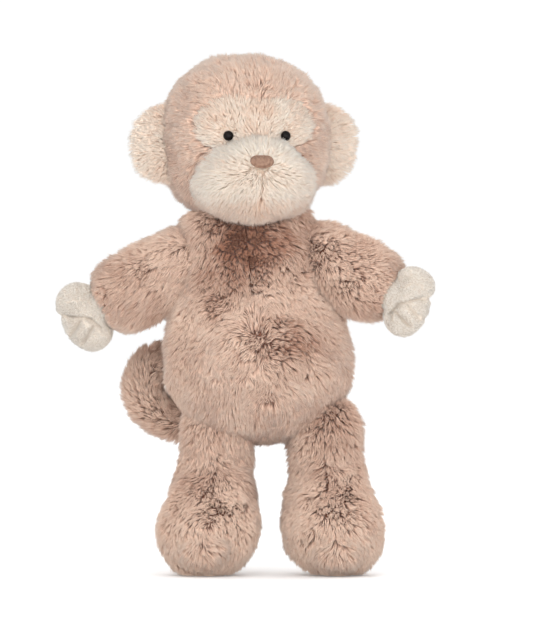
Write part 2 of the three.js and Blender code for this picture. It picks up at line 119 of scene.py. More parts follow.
def smooth(share):
    share = np.clip(share, 0, 1)
    return share * share * (3 - 2 * share)


def near(points, centre, radius):
    """1 at the centre, falling to 0 some way outside the radius."""
    return np.exp(-((np.linalg.norm(points - centre, axis=1, keepdims=True) / radius) ** 2))


NOISE_CELLS = 24
NOISE_TABLE = np.random.default_rng(7).uniform(-1, 1, (NOISE_CELLS, NOISE_CELLS, NOISE_CELLS, 4))


def noise(points, size, channel=0):
    """A smooth random value from -1 to 1 at each point, one of four kinds, as a column."""
    place = points / size + 100.37
    cell = np.floor(place).astype(int)
    part = place - cell
    part = part * part * (3 - 2 * part)
    total = 0
    for corner in range(8):
        step = np.array([corner & 1, corner >> 1 & 1, corner >> 2 & 1])
        weight = np.prod(np.where(step, part, 1 - part), axis=1)
        x, y, z = ((cell + step) % NOISE_CELLS).T
        total = total + weight * NOISE_TABLE[x, y, z, channel]
    return total[:, None]


def noise3(points, size):
    return np.hstack([noise(points, size, channel) for channel in range(3)])


class Place:
    """A frame of its own: where its origin is and which way its axes point."""

    def __init__(self, origin, x, y, z):
        self.origin = np.array(origin, float)
        self.axes = np.array([x, y, z], float)

    def out(self, points):
        return np.asarray(points) @ self.axes + self.origin

    def into(self, points):
        return (np.asarray(points) - self.origin) @ self.axes.T

    def turn_out(self, vectors):
        return np.asarray(vectors) @ self.axes


def limb_place(word):
    """An arm's frame: z from the shoulder to the wrist, x upwards."""
    root, wrist = JOINTS[f"arm_{word}_swing"], JOINTS[f"hand_{word}_flex"]
    along = unit(wrist - root)
    up = unit(UP - along * along[2])
    return Place(root, up, np.cross(along, up), along)


NECK = JOINTS["neck_turn"]
HEAD_X = unit(-AXES["head_nod"])
HEAD = Place(NECK + HEAD_CENTRE, HEAD_X, np.cross(UP, HEAD_X), UP)
LEAN = math.radians(TORSO_LEAN)
TORSO = Place(
    NECK + TORSO_FOOT,
    (math.cos(LEAN), 0, math.sin(LEAN)),
    (0, 1, 0),
    (-math.sin(LEAN), 0, math.cos(LEAN)),
)
ARMS = {word: limb_place(word) for word, _ in SIDES}
HANDS = {word: Place(JOINTS[f"hand_{word}_flex"], *ARMS[word].axes) for word, _ in SIDES}
LEGS = {word: Place(JOINTS[f"leg_{word}_swing"], (1, 0, 0), (0, 1, 0), (0, 0, 1)) for word, _ in SIDES}
TAIL = Place(JOINTS["tail_wag"], (1, 0, 0), (0, 1, 0), (0, 0, 1))

# ---- Closed surfaces ----


class Surface:
    """A closed mesh of triangles, with a frame of its own in which it was shaped."""

    def __init__(self, points, faces, place):
        self.points, self.faces, self.place = points, faces, place

    def normals(self):
        a, b, c = (self.points[self.faces[:, i]] for i in range(3))
        face = np.cross(b - a, c - a)
        total = np.zeros_like(self.points)
        for i in range(3):
            np.add.at(total, self.faces[:, i], face)
        return unit(total)

    def centres(self):
        """The middle of each face, in the surface's own frame."""
        return self.place.into(self.points[self.faces].mean(axis=1))


def smooth_line(points, count):
    """Evenly spaced points along a smooth line through the given ones."""
    points = np.array(points, float)
    padded = np.vstack([2 * points[0] - points[1], points, 2 * points[-1] - points[-2]])
    dense = []
    for i in range(len(points) - 1):
        a, b, c, d = padded[i : i + 4]
        t = np.linspace(0, 1, 24, endpoint=False)[:, None]
        dense.append(b + 0.5 * t * (c - a + t * (2 * a - 5 * b + 4 * c - d + t * (3 * (b - c) + d - a))))
    dense = np.vstack([*dense, points[-1:]])
    length = np.r_[0, np.cumsum(np.linalg.norm(np.diff(dense, axis=0), axis=1))]
    wanted = np.linspace(0, length[-1], count)
    return np.column_stack([np.interp(wanted, length, dense[:, i]) for i in range(dense.shape[1])])


def ring_faces(rings, around):
    """Triangles of a closed body of rings between two end points, the first point and the last."""
    ring = 1 + np.arange(rings)[:, None] * around
    here = ring + np.arange(around)
    beside = ring + (np.arange(around) + 1) % around
    low, high, low_next, high_next = here[:-1], here[1:], beside[:-1], beside[1:]
    faces = [
        np.stack([low, low_next, high_next], -1).reshape(-1, 3),
        np.stack([low, high_next, high], -1).reshape(-1, 3),
        np.stack([np.zeros(around, int), beside[0], here[0]], -1),
        np.stack([np.full(around, 1 + rings * around), here[-1], beside[-1]], -1),
    ]
    return np.vstack(faces)


def turned(outline, rings, around):
    """A round body about z from an outline of radius and height that starts and ends on the axis."""
    line = smooth_line(outline, rings + 2)
    turn = np.linspace(0, 2 * math.pi, around, endpoint=False)
    radius, height = line[1:-1, 0][:, None], line[1:-1, 1][:, None]
    ring = np.stack([radius * np.cos(turn), radius * np.sin(turn), height + 0 * turn], -1).reshape(-1, 3)
    return np.vstack([[0, 0, line[0, 1]], ring, [0, 0, line[-1, 1]]]), ring_faces(rings, around)


def arc(radius, start, end, steps):
    """Points of an arc in an outline, by the angle from the low end of the axis."""
    return [(radius * math.sin(a), -radius * math.cos(a)) for a in np.radians(np.linspace(start, end, steps))]


def pillow(half, squareness, rings, around):
    """A sphere pushed out towards a box."""
    points, faces = turned(arc(1, 0, 180, 13), rings, around)
    points = points / (np.abs(points) ** squareness).sum(axis=1, keepdims=True) ** (1 / squareness)
    return points * np.array(half), faces


def torso_surface():
    points, faces = turned(TORSO_OUTLINE, 46, 84)
    height = TORSO_OUTLINE[-1][1]
    share = np.clip(points[:, 2] / height, 0, 1)
    points[:, 1] = points[:, 1] * TORSO_DEPTH - TORSO_FORWARD * np.sin(np.pi * share)
    return Surface(TORSO.out(points), faces, TORSO)


def head_surface():
    points, faces = pillow(HEAD_HALF, HEAD_SQUARENESS, 40, 80)
    return Surface(HEAD.out(points), faces, HEAD)


def muzzle_surface():
    points, faces = pillow(MUZZLE_HALF, 2, 28, 56)
    points[:, 0] *= 1 - MUZZLE_NARROWING * points[:, 2] / MUZZLE_HALF[2]
    return Surface(HEAD.out(points + MUZZLE_CENTRE), faces, HEAD)


def ear_surface(side):
    points, faces = pillow(EAR["half"], 2.3, 24, 40)
    return Surface(HEAD.out(points + np.array([side * EAR["across"], 0, EAR["up"]])), faces, HEAD)


def sleeve_surface(word):
    points, faces = turned(arc(ARM_ROOT, 0, 90, 6) + ARM_OUTLINE, 36, 48)
    return Surface(ARMS[word].out(points), faces, ARMS[word])


def leg_middle(up, side):
    """How far across a splayed leg's middle is at a height above the hip, which is below 0 on the leg."""
    return side * LEG_SPLAY * np.maximum(0, -up - LEG_ROOT / 2)


def leg_shape(points, side):
    """Bends a round leg, measured downwards from the hip, into the toy's leg with its foot ahead."""
    depth = points[:, 2].copy()
    share = smooth((depth - LEG_ROOT) / (LEG_WIDEST - LEG_ROOT))
    return np.column_stack([
        points[:, 0] + leg_middle(-depth, side),
        -points[:, 1] * (1 + (FOOT_DEPTH - 1) * share) - FOOT_FORWARD * share,
        -depth,
    ])


def leg_surface(word, side):
    points, faces = turned(arc(LEG_ROOT, 0, 90, 6) + LEG_OUTLINE, 44, 56)
    return Surface(LEGS[word].out(leg_shape(points, side)), faces, LEGS[word])


def tail_surface():
    rings, around = 64, 26
    line = smooth_line(TAIL_ROUTE, rings)
    along = unit(np.gradient(line, axis=0))
    sideways = unit(np.cross(along, [0, 1.0, 0]))
    third = np.cross(along, sideways)
    length = np.r_[0, np.cumsum(np.linalg.norm(np.diff(line, axis=0), axis=1))]
    end = np.minimum(length + 1, length[-1] - length + 0.6) / TAIL_RADIUS
    radius = (TAIL_RADIUS * np.sqrt(1 - (1 - np.minimum(end, 1)) ** 2))[:, None, None]
    turn = np.linspace(0, 2 * math.pi, around, endpoint=False)[None, :, None]
    ring = line[:, None] + radius * (np.cos(turn) * sideways[:, None] + np.sin(turn) * third[:, None])
    points = np.vstack([line[:1] - along[:1], ring.reshape(-1, 3), line[-1:] + along[-1:] * 0.6])
    return Surface(TAIL.out(points), ring_faces(rings, around), TAIL)


# ---- Meshes ----


def build_mesh(name, points, faces):
    """A mesh object in metres from points in millimetres and triangles."""
    mesh = bpy.data.meshes.new(name)
    mesh.vertices.add(len(points))
    mesh.vertices.foreach_set("co", (np.asarray(points) / 1000).astype(np.float32).ravel())
    mesh.loops.add(faces.size)
    mesh.loops.foreach_set("vertex_index", faces.astype(np.int32).ravel())
    mesh.polygons.add(len(faces))
    mesh.polygons.foreach_set("loop_start", np.arange(0, faces.size, 3, dtype=np.int32))
    mesh.polygons.foreach_set("use_smooth", np.full(len(faces), True))
    mesh.update(calc_edges=True)
    made = bpy.data.objects.new(name, mesh)
    bpy.context.scene.collection.objects.link(made)
    return made


def dress(made, body, material):
    made.data.materials.append(material)
    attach(made, body)
    return made


def shell_of(surface, mask, thickness):
    """The masked faces as a closed sheet of the given thickness, lying inside the surface."""
    normals = surface.normals()
    faces = surface.faces[mask]
    used, inverse = np.unique(faces, return_inverse=True)
    outer = inverse.reshape(-1, 3)
    points, inward = surface.points[used], normals[used]
    edges = np.vstack([outer[:, [0, 1]], outer[:, [1, 2]], outer[:, [2, 0]]])
    keys = {tuple(edge) for edge in edges.tolist()}
    rim = np.array([edge for edge in edges.tolist() if (edge[1], edge[0]) not in keys], int).reshape(-1, 2)
    count = len(used)
    walls = [np.column_stack([rim[:, 1], rim[:, 0], rim[:, 0] + count])]
    walls.append(np.column_stack([rim[:, 1], rim[:, 0] + count, rim[:, 1] + count]))
    sheet = np.vstack([outer, outer[:, ::-1] + count, *walls])
    return np.vstack([points, points - inward * thickness]), sheet


# ---- Stuffing the covers: the cloth swells between its seams ----

SWELL_FRAMES = 16
STRETCH_STIFFNESS = 2
PRESSURE = {"torso": 200, "head": 450, "leg": 700, "sleeve": 450}  # chosen for a fullness that shows


def swell(surfaces, seams, pressures):
    """Blows each closed cover up a little by cloth simulation, held at its seams."""
    made = []
    for surface, seam, pressure in zip(surfaces, seams, pressures):
        bag = build_mesh("bag", surface.points, surface.faces)
        held = bag.vertex_groups.new(name="held")
        for index, weight in enumerate(seam):
            if weight > 0.02:
                held.add([index], float(weight), "REPLACE")
        cloth = bag.modifiers.new("cloth", "CLOTH")
        cloth.settings.quality = 5
        cloth.settings.mass = 0.003
        cloth.settings.tension_stiffness = STRETCH_STIFFNESS
        cloth.settings.compression_stiffness = STRETCH_STIFFNESS
        cloth.settings.shear_stiffness = STRETCH_STIFFNESS
        cloth.settings.bending_stiffness = 0.05
        cloth.settings.use_pressure = True
        cloth.settings.uniform_pressure_force = pressure
        cloth.settings.vertex_group_mass = "held"
        cloth.settings.effector_weights.gravity = 0
        cloth.point_cache.frame_start, cloth.point_cache.frame_end = 1, SWELL_FRAMES
        made.append(bag)
    for step in range(1, SWELL_FRAMES + 1):
        bpy.context.scene.frame_set(step)
    graph = bpy.context.evaluated_depsgraph_get()
    for surface, bag in zip(surfaces, made):
        grown = bag.evaluated_get(graph).to_mesh()
        points = np.zeros(len(grown.vertices) * 3, np.float32)
        grown.vertices.foreach_get("co", points)
        travel = points.reshape(-1, 3) * 1000.0 - surface.points
        far = np.linalg.norm(travel, axis=1, keepdims=True)
        surface.points = surface.points + travel * np.minimum(1, PUFF / np.maximum(far, 1e-6))
        bpy.data.objects.remove(bag)
    bpy.context.scene.frame_set(1)


# ---- Pile ----


class Coat:
    """How a stretch of pile looks: its length, lean in degrees from upright, tuft radius, and tufts per mm2.

    lock is the width of a lock, pull how far its tufts are drawn together, and wander how far the lie strays.
    """

    def __init__(self, length, lean, radius, density, lock=3.0, pull=0.5, wander=1.2):
        self.length, self.lean, self.radius, self.density = length, lean, radius, density
        self.lock, self.pull, self.wander = lock, pull, wander


FUR = Coat(length=10.5, lean=49, radius=0.235, density=2.3)
CREAM = Coat(length=10, lean=41, radius=0.215, density=3.0, lock=2.4, pull=0.42, wander=0.9)
BROW_COAT = Coat(length=8, lean=50, radius=0.215, density=3.2, lock=2.2, pull=0.36, wander=0.75)
EAR_COAT = Coat(length=8, lean=60, radius=0.215, density=2.9, lock=2.4, pull=0.4, wander=0.8)
SHORT = Coat(length=2.9, lean=48, radius=0.19, density=4.2, lock=2.2, pull=0.35, wander=1.2)
MOST_TUFTS = 19000  # in one piece


def scatter(surface, mask, density, random):
    """Places spread evenly over the masked faces: points, normals."""
    faces = surface.faces[mask]
    a, b, c = (surface.points[faces[:, i]] for i in range(3))
    area = np.linalg.norm(np.cross(b - a, c - a), axis=1) / 2
    count = int(area.sum() * density)
    steps = (np.arange(count) + random.uniform(0, 1, count)) * area.sum() / count
    chosen = np.minimum(np.searchsorted(np.cumsum(area), steps), len(faces) - 1)
    u, v = random.uniform(0, 1, (2, count, 1))
    flip = u + v > 1
    u, v = np.where(flip, 1 - u, u), np.where(flip, 1 - v, v)
    normals = surface.normals()[faces[chosen]]
    points = a[chosen] * (1 - u - v) + b[chosen] * u + c[chosen] * v
    return points, unit(normals[:, 0] * (1 - u - v) + normals[:, 1] * u + normals[:, 2] * v)


def locks(points, per_lock, random):
    """For each point, the index of the point that leads its lock."""
    size = len(points)
    leaders = random.choice(size, max(1, int(size / per_lock)), replace=False)
    tree = kdtree.KDTree(len(leaders))
    for leader in leaders:
        tree.insert(points[leader], int(leader))
    tree.balance()
    return np.array([tree.find(point)[1] for point in points])


def grow(name, surface, mask, coat, comb, tone, keep=None, trim=None, ruffle=None):
    """The pile of one panel: a closed three-sided tuft at each place, in a mesh for each band of it.

    comb gives the way the pile lies, tone a value from 0, dark, to 1, light, keep the places that have
    pile, trim a share of the length, and ruffle how far the pile stands up, from 0 to 1.
    """
    random = np.random.default_rng(sum(map(ord, name)))
    points, normals = scatter(surface, mask, coat.density, random)
    if keep is not None:
        chosen = keep(points)
        points, normals = points[chosen], normals[chosen]
    count = len(points)
    way = comb(points, normals)
    way = unit(way - dot(way, normals) * normals)
    way = way + coat.wander * (0.55 * noise3(points, 17) + 0.45 * noise3(points, 6))
    way = unit(way + 0.22 * random.normal(size=(count, 3)))
    way = unit(way - dot(way, normals) * normals)
    stand = np.zeros((count, 1)) if ruffle is None else ruffle(points)
    lean = coat.lean + 19 * noise(points, 13, 1) + 6 * random.normal(size=(count, 1))
    lean = np.radians(np.clip(lean * (1 - 0.8 * stand), 6, 80))
    length = coat.length * (1 + 0.12 * noise(points, 9, 2) + 0.1 * random.normal(size=(count, 1)))
    length = length * (1 - 0.3 * stand)
    if trim is not None:
        length = length * trim(points)
    root = points - normals * ROOT_DEPTH
    low, high = lean * 0.75, np.minimum(lean * 1.2, 1.45)
    middle = root + 0.5 * length * (np.cos(low) * normals + np.sin(low) * way)
    tip = middle + 0.5 * length * (np.cos(high) * normals + np.sin(high) * way)
    leader = locks(points, coat.lock**2 * coat.density, random)
    pull = coat.pull * random.uniform(0.6, 1.2, (count, 1))
    middle = middle + 0.4 * pull * (middle[leader] - middle)
    tip = tip + pull * (tip[leader] - tip)
    for part in (middle, tip):
        part[:, 2] = np.maximum(part[:, 2], 0.4)
    shade = np.clip(tone(points) - 0.7 * stand[:, 0] + 0.17 * random.normal(size=count), 0.03, 0.97)
    bands = np.array_split(np.argsort(points[:, 2]), math.ceil(count / MOST_TUFTS))
    return [
        tufts(f"{name}_{number}", [part[band] for part in (root, middle, tip)],
              normals[band], coat.radius, shade[band], random)
        for number, band in enumerate(bands, 1)
    ]


def tufts(name, spine, normals, radius, shade, random):
    """Closed three-sided tufts along spines of a root, a middle and a tip.

    Across the UV map is a tuft's shade, and up it is the way from root to tip.
    """
    root, middle, tip = spine
    count = len(root)
    along = unit(tip - root)
    side = unit(np.cross(along, normals) + 1e-4)
    third = np.cross(along, side)
    spin = random.uniform(0, 2 * math.pi, (count, 1))
    thick = radius * random.uniform(0.75, 1.25, (count, 1))
    rings = []
    for centre, scale in ((root, 0.8), (middle, 1.0)):
        for corner in range(3):
            turn = spin + corner * 2 * math.pi / 3
            rings.append(centre + thick * scale * (np.cos(turn) * side + np.sin(turn) * third))
    points = np.stack([*rings, tip], 1).reshape(-1, 3)
    pattern = [(2, 1, 0)]
    for corner in range(3):
        after = (corner + 1) % 3
        pattern += [(corner, after, after + 3), (corner, after + 3, corner + 3), (corner + 3, after + 3, 6)]
    pattern = np.array(pattern)
    faces = (np.arange(count)[:, None, None] * 7 + pattern).reshape(-1, 3)
    made = build_mesh(name, points, faces)
    across = np.array([-0.012, 0, 0.012, -0.012, 0, 0.012, 0])
    up = np.array([0.02, 0, 0.02, 0.5, 0.52, 0.5, 0.98])
    u = (shade[:, None] + across).ravel()
    v = np.tile(up, count)
    uv = made.data.uv_layers.new(name="OFBake")
    corner = faces.ravel()
    uv.data.foreach_set("uv", np.column_stack([u[corner], v[corner]]).astype(np.float32).ravel())
    return made


# ---- Materials ----


def linear(red, green, blue):
    """A colour given by its 0 to 255 screen values."""
    screen = np.array([red, green, blue]) / 255
    value = np.where(screen <= 0.04045, screen / 12.92, ((screen + 0.055) / 1.055) ** 2.4)
    return (*value.tolist(), 1.0)


def new_material(name, roughness, **sockets):
    material = bpy.data.materials.new(name)
    material.use_nodes = True
    shader = material.node_tree.nodes["Principled BSDF"]
    shader.inputs["Roughness"].default_value = roughness
    for socket, value in sockets.items():
        shader.inputs[socket.replace("_", " ")].default_value = value
    return material, material.node_tree.nodes, material.node_tree.links, shader


def ramp(nodes, links, source, colours):
    made = nodes.new("ShaderNodeValToRGB")
    stops = made.color_ramp.elements
    while len(stops) < len(colours):
        stops.new(0.5)
    for stop, (place, colour) in zip(stops, colours):
        stop.position = place
        stop.color = linear(*colour)
    links.new(source, made.inputs["Fac"])
    return made.outputs["Color"]


def pile_material(name, dark, light):
    """Pile whose colour goes from root to tip, between a dark and a light kind of tuft."""
    material, nodes, links, shader = new_material(name, 0.75, Specular_IOR_Level=0.25, Sheen_Weight=0.25)
    uv = nodes.new("ShaderNodeUVMap")
    uv.uv_map = "OFBake"
    parts = nodes.new("ShaderNodeSeparateXYZ")
    links.new(uv.outputs["UV"], parts.inputs["Vector"])
    mix = nodes.new("ShaderNodeMix")
    mix.data_type = "RGBA"
    links.new(parts.outputs["X"], mix.inputs["Factor"])
    links.new(ramp(nodes, links, parts.outputs["Y"], dark), mix.inputs["A"])
    links.new(ramp(nodes, links, parts.outputs["Y"], light), mix.inputs["B"])
    links.new(mix.outputs["Result"], shader.inputs["Base Color"])
    return material


def mottled_material(name, roughness, colours, scale, bump, weave=0.0, **sockets):
    """A surface with patches of colour and a fine relief, with the ribs of a knit where weave isn't 0."""
    material, nodes, links, shader = new_material(name, roughness, **sockets)
    place = nodes.new("ShaderNodeTexCoord").outputs["Object"]
    patches = nodes.new("ShaderNodeTexNoise")
    patches.inputs["Scale"].default_value = scale
    patches.inputs["Detail"].default_value = 6
    links.new(place, patches.inputs["Vector"])
    links.new(ramp(nodes, links, patches.outputs["Fac"], colours), shader.inputs["Base Color"])
    relief = nodes.new("ShaderNodeBump")
    relief.inputs["Strength"].default_value = bump
    relief.inputs["Distance"].default_value = 0.0006
    source = patches.outputs["Fac"]
    if weave:
        ribs = nodes.new("ShaderNodeTexWave")
        ribs.inputs["Scale"].default_value = weave
        ribs.inputs["Distortion"].default_value = 1.5
        links.new(place, ribs.inputs["Vector"])
        source = ribs.outputs["Fac"]
    links.new(source, relief.inputs["Height"])
    links.new(relief.outputs["Normal"], shader.inputs["Normal"])
    return material


FUR_PILE = pile_material(
    "rose_pile",
    [(0.0, (84, 44, 30)), (0.4, (146, 95, 72)), (1.0, (194, 142, 115))],
    [(0.0, (196, 146, 122)), (0.35, (238, 201, 178)), (1.0, (255, 234, 216))],
)
CREAM_PILE = pile_material(
    "cream_pile",
    [(0.0, (216, 168, 138)), (0.45, (238, 204, 180)), (1.0, (243, 221, 202))],
    [(0.0, (240, 220, 198)), (0.4, (250, 239, 224)), (1.0, (252, 246, 236))],
)
IVORY_PILE = pile_material(
    "ivory_pile",
    [(0.0, (170, 148, 130)), (0.5, (210, 196, 181)), (1.0, (222, 211, 199))],
    [(0.0, (208, 194, 179)), (0.5, (235, 227, 217)), (1.0, (244, 239, 231))],
)
FUR_CLOTH = mottled_material(
    "rose_backing", 0.95, [(0.3, (138, 94, 76)), (0.7, (166, 120, 100))], 60, 0.5, weave=420
)
CREAM_CLOTH = mottled_material(
    "cream_backing", 0.95, [(0.3, (226, 200, 176)), (0.7, (240, 220, 200))], 60, 0.5, weave=420
)
IVORY_CLOTH = mottled_material(
    "ivory_backing", 0.9, [(0.3, (198, 184, 169)), (0.7, (216, 205, 192))], 90, 0.4, weave=500
)
THREAD = mottled_material("thread", 0.55, [(0.3, (118, 86, 68)), (0.7, (156, 124, 104))], 500, 0.6)
BEAD = mottled_material(
    "eye_bead", 0.12, [(0.3, (7, 4, 4)), (0.7, (14, 8, 6))], 300, 0.02, Specular_IOR_Level=0.14
)
WASHER = mottled_material("washer_plastic", 0.45, [(0.3, (226, 222, 210)), (0.7, (242, 240, 232))], 200, 0.2)
FIBRE = mottled_material("polyester_fibre", 0.9, [(0.3, (228, 226, 220)), (0.7, (250, 249, 246))], 260, 0.9)

# ---- The way the pile lies, and its tone ----

WHORL = TORSO.out((1.5, -46, 66))  # on the belly
CHIN = TORSO.out((1, -34, 141))
CHEST_RUFFLE = TORSO.out((-24, -40, 100))
BELLY_RUFFLE = TORSO.out((22, -44, 72))


def torso_comb(points, normals):
    away = points - WHORL
    fan = unit(away * np.array([1, 0.3, 1]))
    share = near(points, WHORL, 42) * (0.75 + 0.5 * noise(points, 12, 3))
    sideways = np.sign(TORSO.into(points)[:, :1]) * TORSO.axes[0] * 0.04
    share = 0.85 * share * (1 - 0.6 * near(points, WHORL, 7))
    return share * fan * 1.2 + (1 - share) * (DOWN + sideways)


def torso_ruffle(points):
    total = 1.0 * near(points, CHIN, 27) + 0.75 * near(points, CHEST_RUFFLE, 13)
    total = total + 0.78 * near(points, BELLY_RUFFLE, 17) + 0.35 * near(points, WHORL, 9)
    patchy = 0.6 + 0.8 * np.clip(noise(points, 7, 3) + 0.2, 0, 1)
    return np.clip(total * patchy, 0, 1)


def fur_tone(points):
    return (0.68 + 0.2 * noise(points, 24, 1) + 0.15 * noise(points, 8, 2))[:, 0]


def torso_tone(points):
    # Darker round the chin: painted shade under the muzzle, which also stands for the dark roots of the ruffled
    # pile there.
    return fur_tone(points) - 0.6 * near(points, CHIN, 25)[:, 0] + 0.09


FACE = np.array([0, -46, -6])
CROWN = np.array([9, -34, 39])


def head_comb(points, normals):
    local = HEAD.into(points)
    from_face = unit(local - FACE) + np.array([0, 0.25, -0.3])
    from_crown = unit((local - CROWN) * np.array([1, 0.6, 0.5]))
    share = 0.3 * smooth((local[:, 2:] - 18) / 22) * smooth((20 - local[:, 1:2]) / 30)
    behind = smooth((local[:, 1:2] - 5) / 25)
    way = (1 - share) * from_face + share * from_crown
    over = 4 * behind * (1 - behind) * np.array([0, 1.0, 0])
    return HEAD.turn_out((1 - behind) * way + over + behind * np.array([0, 0.1, -1]))


def head_tone(points):
    # Lighter towards the crown: painted light falling from above.
    return fur_tone(points) + 0.08 + 0.2 * smooth(HEAD.into(points)[:, 2] / 45)


def muzzle_inside(local, grow_by):
    centred = (local - MUZZLE_CENTRE) / (MUZZLE_HALF + grow_by)
    centred[:, 0] /= 1 - MUZZLE_NARROWING * np.clip(centred[:, 2], -1, 1)
    return (centred**2).sum(axis=1) < 1


def brow_inside(local, grow_by=0.0):
    """The brow panel seen from the front: two rounded lobes that meet in a shallow notch."""
    across, up = np.abs(local[:, 0]), local[:, 2]
    lobe = ((across - 16) / (22 + grow_by)) ** 2 + ((up - 8) / (17.5 + grow_by)) ** 2 < 1
    bridge = (across < 16) & (up > -20) & (up < 22 + grow_by)
    return (lobe | bridge) & (local[:, 1] < 0)


def eye_spot(side):
    across = side * EYE["across"]
    used = abs(across / HEAD_HALF[0]) ** HEAD_SQUARENESS + abs(EYE["up"] / HEAD_HALF[2]) ** HEAD_SQUARENESS
    return np.array([across, -HEAD_HALF[1] * (1 - used) ** (1 / HEAD_SQUARENESS), EYE["up"]])


NOSE_SPOT = np.array([0, MUZZLE_CENTRE[1] - MUZZLE_HALF[1] * 0.94, NOSE_UP])


def face_trim(points):
    """Pile is clipped short round the eyes and the nose."""
    local = HEAD.into(points)
    share = 1.0
    for side in (-1, 1):
        share = share * (1 - 0.75 * near(local, eye_spot(side), 7.5))
    return share * (1 - 0.7 * near(local, NOSE_SPOT, 8.5))


def muzzle_comb(points, normals):
    local = HEAD.into(points)
    away = unit(local - NOSE_SPOT)
    below = smooth((NOSE_UP + 2 - local[:, 2:]) / 8)
    parting = np.sign(local[:, :1]) * np.array([1.0, 0, 0]) * np.exp(-((local[:, :1] / 12) ** 2)) * below
    return HEAD.turn_out(away + 0.3 * parting + np.array([0, 0.25, -0.12]))


def cream_tone(points):
    return (0.72 + 0.2 * noise(points, 16, 1) + 0.14 * noise(points, 6, 2))[:, 0]


def muzzle_tone(points):
    up = HEAD.into(points)[:, 2]
    # Lighter from the nose upwards; darker towards the bottom, which is painted shade where the muzzle turns
    # under.
    return cream_tone(points) + 0.15 * smooth((up + 22) / 10) - 0.75 * smooth((-34 - up) / 14)


def brow_comb(points, normals):
    local = HEAD.into(points)
    return HEAD.turn_out(unit((local - np.array([0, -47, -12])) * np.array([1.1, 0.3, 1.0])))


def brow_tone(points):
    local = HEAD.into(points)
    middle = np.exp(-((local[:, 0] / 20) ** 2))
    return (0.62 + 0.26 * noise(points, 9, 1) + 0.2 * noise(points, 4, 2))[:, 0] - 0.06 - 0.18 * middle


def ear_comb(side, reach):
    base = np.array([side * (EAR["across"] - 8), 0, EAR["up"]])

    def comb(points, normals):
        local = HEAD.into(points)
        return HEAD.turn_out(unit(local - base) + np.array([side * reach, 0, -0.1]))

    return comb


def ear_tone(side):
    def tone(points):
        local = HEAD.into(points)
        inner = smooth((side * local[:, 0] - EAR["across"] - 2) / 16)
        # Darker and pinker towards the head: painted shade where the ear meets the head.
        return cream_tone(points) - 0.12 - 0.3 * (1 - inner)

    return tone


def sleeve_comb(word):
    along = ARMS[word].axes[2]

    def comb(points, normals):
        return along + 0.3 * DOWN + 0.25 * noise3(points, 26)

    return comb


TOES = {
    word: np.array([side * 7.5 + (-2 if side < 0 else 0), -FOOT_FORWARD - 37, -80.5]) for word, side in SIDES
}  # where the pile fans out on each foot, from the hip


def leg_comb(word, side):
    toe = LEGS[word].out(TOES[word])

    def comb(points, normals):
        local = LEGS[word].into(points)
        across = local[:, :1] - leg_middle(local[:, 2:], side)
        ahead = local[:, 1:2] < 0
        shin = smooth((local[:, 2:] + 58) / 20)
        apart = np.sign(across) * np.exp(-((across / 12) ** 2)) * ahead * shin
        lie = DOWN + 0.5 * (1 - smooth((local[:, 2:] + 62) / 30)) * np.array([0, -1.0, 0])
        share = near(points, toe, 15)
        fan = unit((points - toe) * np.array([1, 0.4, 1]))
        fan[:, 2] = np.minimum(fan[:, 2], 0.1)
        return 0.8 * share * fan + (1 - share) * (lie + apart * np.array([0.15, 0, 0]))

    return comb


def leg_ruffle(word, side):
    toe = LEGS[word].out(TOES[word])

    def ruffle(points):
        spots = 0.55 * near(points, toe + np.array([side * 4, 0, -3]), 5)
        local = LEGS[word].into(points)
        across = local[:, :1] - leg_middle(local[:, 2:], side)
        seam = np.exp(-(((across + 5 * noise(points, 14, 0)) / 5) ** 2))
        seam = seam * smooth((local[:, 2:] + 52) / 14) * (local[:, 1:2] < 0)
        patches = 0.3 * np.clip(noise(points, 8, 3) - 0.45, 0, 1)
        return np.clip(spots + patches + 0.3 * seam * (0.6 + 0.8 * noise(points, 6, 2)), 0, 1)

    return ruffle


TAIL_LINE = TAIL.out(smooth_line(TAIL_ROUTE, 80))


def tail_comb(points, normals):
    distance = np.linalg.norm(points[:, None] - TAIL_LINE[None, ::2], axis=2)
    along = unit(np.gradient(TAIL_LINE[::2], axis=0))
    return along[np.argmin(distance, axis=1)] + 0.15 * DOWN


# ---- Covers ----


def sunk(surface, depth):
    """The backing lies a little inside the outline that the pile fills."""
    surface.points = surface.points - depth * surface.normals()
    return surface


torso = sunk(torso_surface(), SINK)
head = sunk(head_surface(), SINK)
muzzle = sunk(muzzle_surface(), SINK)
ears = {word: ear_surface(side) for word, side in SIDES}
sleeves = {word: sunk(sleeve_surface(word), SINK) for word, _ in SIDES}
legs = {word: sunk(leg_surface(word, side), SINK) for word, side in SIDES}
tail = tail_surface()


def seam_weight(distance, width=3.0):
    return np.exp(-((distance / width) ** 2))


def torso_seams():
    local = TORSO.into(torso.points)
    front = np.where(local[:, 1] < TORSO_SIDE, np.abs(local[:, 0]), 99)
    return seam_weight(np.minimum(front, np.abs(local[:, 1] - TORSO_SIDE)))


def leg_seams(word, side):
    local = LEGS[word].into(legs[word].points)
    return seam_weight(local[:, 0] - leg_middle(local[:, 2], side))


def head_seams():
    local = HEAD.into(head.points)
    face = brow_inside(local, 2) != brow_inside(local, -2)
    return np.maximum(seam_weight(local[:, 1]), face * 1.0)


swell(
    [torso, head, legs["right"], legs["left"], sleeves["right"], sleeves["left"]],
    [
        torso_seams(),
        head_seams(),
        leg_seams("right", -1),
        leg_seams("left", 1),
        seam_weight(ARMS["right"].into(sleeves["right"].points)[:, 1]),
        seam_weight(ARMS["left"].into(sleeves["left"].points)[:, 1]),
    ],
    [PRESSURE[part] for part in ("torso", "head", "leg", "leg", "sleeve", "sleeve")],
)


